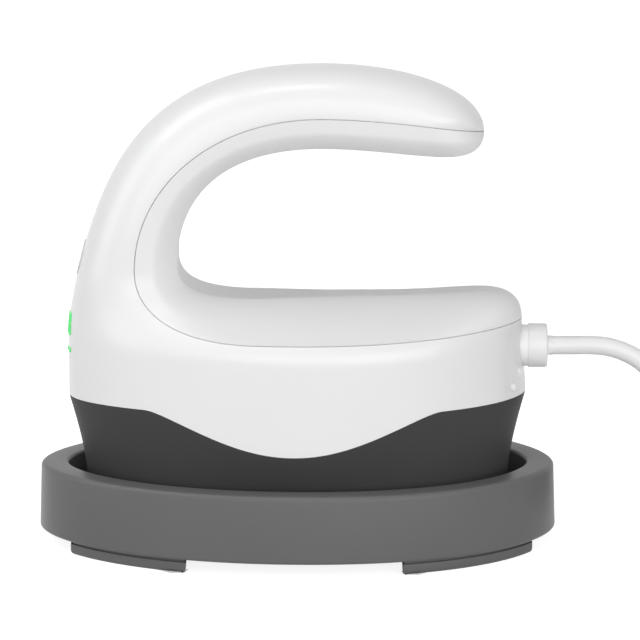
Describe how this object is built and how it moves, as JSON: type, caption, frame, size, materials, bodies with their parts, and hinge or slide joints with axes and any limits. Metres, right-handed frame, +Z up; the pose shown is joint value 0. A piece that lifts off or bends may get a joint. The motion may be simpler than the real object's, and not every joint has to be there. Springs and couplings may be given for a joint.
{
  "type": "mini handheld heat press",
  "caption": "Small white handheld heat press with a C-shaped grip, dark skirt and flat heated sole, resting in an oval grey stand with its mains lead coiled beside it.",
  "frame": {"origin": "on the floor, in the middle of the stand's outline", "axes": "+X from the front, which has the button, to the rear, where the lead leaves; +Z up"},
  "size_m": [0.2414, 0.1074, 0.1242],
  "materials": {
    "white_gloss": "glossy",
    "white_soft": "satin",
    "dark_plastic": "satin",
    "stand_grey": "matt, moulded silicone",
    "black_rubber": "matt",
    "plate_metal": "smooth, coated",
    "steel": "plain",
    "felt": "fibrous",
    "board_green": "satin",
    "part_blue": "satin",
    "part_yellow": "satin",
    "terminal_green": "satin",
    "display_white": "satin",
    "button_grey": "satin",
    "cord_white": "soft, satin",
    "blade_brass": "polished"
  },
  "bodies": {
    "stand": {"stand_tray": "stand_grey", "foot_front_left": "black_rubber", "foot_front_right": "black_rubber", "foot_rear_left": "black_rubber", "foot_rear_right": "black_rubber", "tray_pad": "black_rubber"},
    "press": {"outer_shell": "white_gloss", "grip_liner": "white_soft", "base_skirt": "dark_plastic", "heat_plate": "plate_metal", "plate_gasket": "black_rubber", "heater_tube": "steel", "temp_sensor": "steel", "thermal_fuse": "steel", "heat_shield": "steel", "insulation_pad": "felt", "inner_frame": "dark_plastic", "plate_screws": "steel", "control_board": "board_green", "board_screws": "steel", "relay": "part_blue", "supply_block": "part_yellow", "filter_capacitor": "part_blue", "terminal_block": "terminal_green", "display_board": "board_green", "display_module": "display_white", "button_switch": "dark_plastic", "cord_gland": "cord_white", "inner_lead": "cord_white", "cord_clamp": "dark_plastic", "clamp_screws": "steel", "cord_run": "cord_white", "cord_coil": "cord_white", "cord_tail": "cord_white", "cord_tie": "black_rubber", "plug_body": "cord_white", "plug_blades": "blade_brass"},
    "button": {"power_button": "button_grey"}
  },
  "joints": [
    {"name": "press_lift", "type": "slide", "parent": "stand", "child": "press", "axis": [0, 0, 1], "range_m": [0, 0.06]},
    {"name": "button_press", "type": "slide", "parent": "press", "child": "button", "axis": [0.9903, 0, -0.1392], "range_m": [0, 0.0006], "stiffness_N_per_m": 3000}
  ]
}
